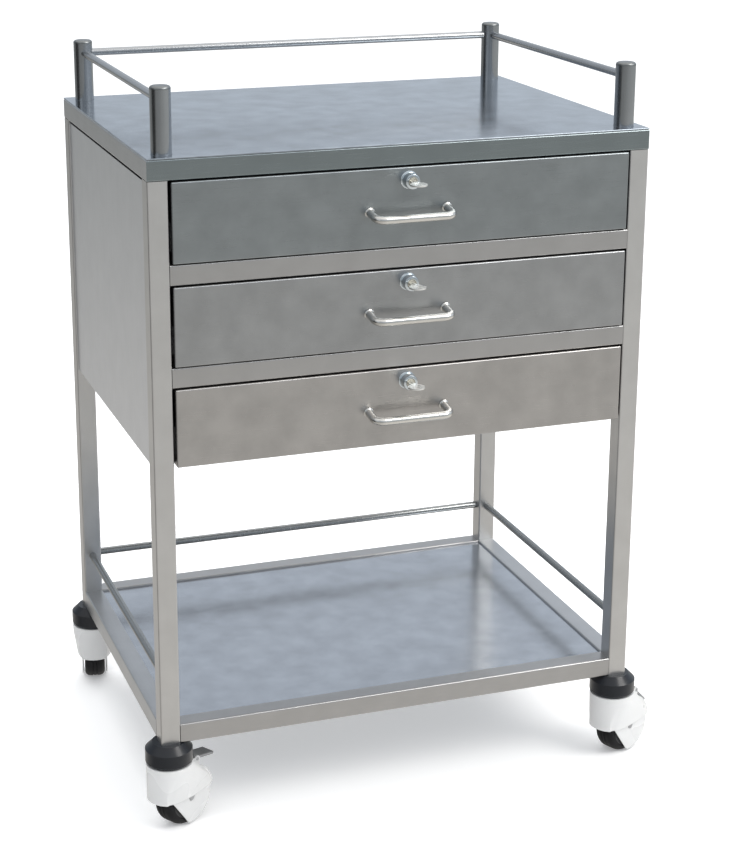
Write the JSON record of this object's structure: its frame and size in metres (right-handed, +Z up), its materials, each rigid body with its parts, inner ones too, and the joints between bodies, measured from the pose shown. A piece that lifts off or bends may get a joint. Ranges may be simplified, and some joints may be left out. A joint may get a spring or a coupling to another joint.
{
  "type": "instrument cart",
  "caption": "Stainless instrument cart: lockable drawers with bow handles over an open shelf, guard rails on posts round the worktop, square tube legs on hooded swivel castors.",
  "frame": {"origin": "on the floor, under the middle of the cart's outline with its castors, handles and keys", "axes": "+Z up, -Y towards the person who opens the drawers, +X to that person's right"},
  "size_m": [0.7086, 0.5681, 0.939],
  "materials": {
    "frame_steel": "brushed along each tube",
    "panel_steel": "satin",
    "top_steel": "satin, faintly mottled",
    "guard_steel": "polished",
    "front_steel": "satin",
    "tray_steel": "satin",
    "handle_steel": "polished",
    "lock_chrome": "bright",
    "lock_core": "nickel plated",
    "key_steel": "bright",
    "zinc_steel": "zinc plated",
    "collar_plastic": "smooth",
    "hood_plastic": "glossy white",
    "wheel_plastic": "smooth",
    "tyre_rubber": "black",
    "pedal_plastic": "smooth"
  },
  "bodies": {
    "cart": {"front_legs": "frame_steel", "rear_legs": "frame_steel", "top_cross_rails": "frame_steel", "top_side_rails": "frame_steel", "drawer_rails": "frame_steel", "shelf_cross_rails": "frame_steel", "shelf_side_rails": "frame_steel", "side_panel_left": "panel_steel", "side_panel_right": "panel_steel", "back_panel": "panel_steel", "cabinet_floor": "panel_steel", "worktop": "top_steel", "shelf_panel": "top_steel", "guard_posts": "guard_steel", "guard_caps": "guard_steel", "guard_rods": "guard_steel", "shelf_guard_rods": "guard_steel", "drawer_runners": "zinc_steel", "leg_inserts": "zinc_steel", "castor_stems": "zinc_steel", "castor_collars": "collar_plastic"},
    "drawer_1": {"drawer_tray_1": "tray_steel", "drawer_front_1": "front_steel", "handle_1": "handle_steel", "lock_case_1": "lock_chrome", "drawer_slides_1": "zinc_steel"},
    "lock_1": {"lock_plug_1": "lock_core", "key_1": "key_steel"},
    "drawer_2": {"drawer_tray_2": "tray_steel", "drawer_front_2": "front_steel", "handle_2": "handle_steel", "lock_case_2": "lock_chrome", "drawer_slides_2": "zinc_steel"},
    "lock_2": {"lock_plug_2": "lock_core", "key_2": "key_steel"},
    "drawer_3": {"drawer_tray_3": "tray_steel", "drawer_front_3": "front_steel", "handle_3": "handle_steel", "lock_case_3": "lock_chrome", "drawer_slides_3": "zinc_steel"},
    "lock_3": {"lock_plug_3": "lock_core", "key_3": "key_steel"},
    "castor_fl": {"hood_fl": "hood_plastic", "axle_fl": "zinc_steel"},
    "roller_fl": {"wheel_fl": "wheel_plastic", "tyre_fl": "tyre_rubber"},
    "brake_fl": {"pedal_fl": "pedal_plastic"},
    "castor_fr": {"hood_fr": "hood_plastic", "axle_fr": "zinc_steel"},
    "roller_fr": {"wheel_fr": "wheel_plastic", "tyre_fr": "tyre_rubber"},
    "brake_fr": {"pedal_fr": "pedal_plastic"},
    "castor_rl": {"hood_rl": "hood_plastic", "axle_rl": "zinc_steel"},
    "roller_rl": {"wheel_rl": "wheel_plastic", "tyre_rl": "tyre_rubber"},
    "castor_rr": {"hood_rr": "hood_plastic", "axle_rr": "zinc_steel"},
    "roller_rr": {"wheel_rr": "wheel_plastic", "tyre_rr": "tyre_rubber"}
  },
  "joints": [
    {"name": "drawer_1_slide", "type": "slide", "parent": "cart", "child": "drawer_1", "axis": [0, -1, 0], "range_m": [0, 0.32]},
    {"name": "lock_1_turn", "type": "hinge", "parent": "drawer_1", "child": "lock_1", "pos_m": [-0.01742, -0.24142, 0.815], "axis": [0, -1, 0], "range_deg": [0, 90]},
    {"name": "drawer_2_slide", "type": "slide", "parent": "cart", "child": "drawer_2", "axis": [0, -1, 0], "range_m": [0, 0.32]},
    {"name": "lock_2_turn", "type": "hinge", "parent": "drawer_2", "child": "lock_2", "pos_m": [-0.01742, -0.24142, 0.69], "axis": [0, -1, 0], "range_deg": [0, 90]},
    {"name": "drawer_3_slide", "type": "slide", "parent": "cart", "child": "drawer_3", "axis": [0, -1, 0], "range_m": [0, 0.32]},
    {"name": "lock_3_turn", "type": "hinge", "parent": "drawer_3", "child": "lock_3", "pos_m": [-0.01742, -0.24142, 0.565], "axis": [0, -1, 0], "range_deg": [0, 90]},
    {"name": "swivel_fl", "type": "hinge", "parent": "cart", "child": "castor_fl", "pos_m": [-0.32492, -0.22592, 0.092], "axis": [0, 0, 1], "continuous": true},
    {"name": "roll_fl", "type": "hinge", "parent": "castor_fl", "child": "roller_fl", "pos_m": [-0.30711, -0.21479, 0.0375], "axis": [-0.5299, 0.848, 0], "continuous": true},
    {"name": "brake_fl_pedal", "type": "hinge", "parent": "castor_fl", "child": "brake_fl", "pos_m": [-0.29269, -0.20578, 0.083], "axis": [-0.5299, 0.848, 0], "range_deg": [0, 34]},
    {"name": "swivel_fr", "type": "hinge", "parent": "cart", "child": "castor_fr", "pos_m": [0.29008, -0.22592, 0.092], "axis": [0, 0, 1], "continuous": true},
    {"name": "roll_fr", "type": "hinge", "parent": "castor_fr", "child": "roller_fr", "pos_m": [0.30912, -0.21704, 0.0375], "axis": [-0.4226, 0.9063, 0], "continuous": true},
    {"name": "brake_fr_pedal", "type": "hinge", "parent": "castor_fr", "child": "brake_fr", "pos_m": [0.32452, -0.20986, 0.083], "axis": [-0.4226, 0.9063, 0], "range_deg": [-34, 0]},
    {"name": "swivel_rl", "type": "hinge", "parent": "cart", "child": "castor_rl", "pos_m": [-0.32492, 0.21908, 0.092], "axis": [0, 0, 1], "continuous": true},
    {"name": "roll_rl", "type": "hinge", "parent": "castor_rl", "child": "roller_rl", "pos_m": [-0.32091, 0.2397, 0.0375], "axis": [-0.9816, 0.1908, 0], "continuous": true},
    {"name": "swivel_rr", "type": "hinge", "parent": "cart", "child": "castor_rr", "pos_m": [0.29008, 0.21908, 0.092], "axis": [0, 0, 1], "continuous": true},
    {"name": "roll_rr", "type": "hinge", "parent": "castor_rr", "child": "roller_rr", "pos_m": [0.30863, 0.22894, 0.0375], "axis": [-0.4695, 0.8829, 0], "continuous": true}
  ]
}
